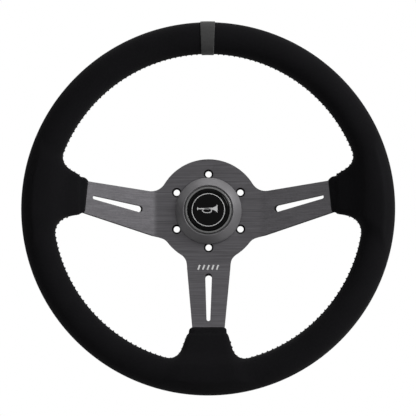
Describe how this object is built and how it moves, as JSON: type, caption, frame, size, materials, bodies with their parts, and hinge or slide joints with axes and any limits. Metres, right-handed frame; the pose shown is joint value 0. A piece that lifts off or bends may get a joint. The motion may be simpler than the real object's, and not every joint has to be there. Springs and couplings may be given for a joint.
{
  "type": "steering wheel",
  "caption": "Dished three-spoke sports steering wheel with a suede-covered grip, slotted brushed metal spokes and a push horn button.",
  "frame": {"origin": "centre of the hub plate's back face, on the bolt circle's axis, where the wheel seats on its hub", "axes": "+Y along the steering axis away from the driver, -Y towards the driver, +Z to twelve o'clock, +X to the driver's right"},
  "size_m": [0.35, 0.0759, 0.351],
  "materials": {
    "anodised": "gunmetal anodised aluminium, brushed along X",
    "hoop_steel": "plain rolled steel, hidden in the foam",
    "rivet": "plain aluminium",
    "foam": "black moulded foam",
    "suede": "black suede with a short nap",
    "marker": "dark grey suede band",
    "thread": "black waxed thread",
    "collar": "satin grey",
    "gasket": "black rubber",
    "screw": "zinc-plated steel",
    "button_rim": "satin grey",
    "gloss_black": "polished black",
    "emblem": "polished black with a white ring",
    "contact": "bright brass",
    "spring": "spring steel",
    "base": "black nylon"
  },
  "bodies": {
    "wheel": {"spoke_plate": "anodised", "rim_hoop": "hoop_steel", "foam_grip": "foam", "suede_cover": "suede", "centre_marker": "marker", "seam_upper_right": "thread", "seam_upper_left": "thread", "seam_lower_right": "thread", "seam_lower_left": "thread", "horn_collar": "collar", "collar_gasket": "gasket", "horn_spring": "spring", "spring_contact": "contact", "fixed_contact": "contact", "switch_base": "base", "base_circlip": "spring", "spoke_rivet_1": "rivet", "spoke_rivet_2": "rivet", "spoke_rivet_3": "rivet", "spoke_rivet_4": "rivet", "spoke_rivet_5": "rivet", "spoke_rivet_6": "rivet", "collar_screw_1": "screw", "collar_screw_2": "screw", "collar_screw_3": "screw"},
    "horn_button": {"button_rim": "button_rim", "button_dome": "gloss_black", "emblem_disc": "emblem", "moving_contact": "contact", "contact_screw": "screw"}
  },
  "joints": [
    {"name": "horn_press", "type": "slide", "parent": "wheel", "child": "horn_button", "axis": [0, 1, 0], "range_m": [0, 0.0025], "stiffness_N_per_m": 2000, "springref_m": -0.003, "deforming": ["horn_spring"]}
  ]
}
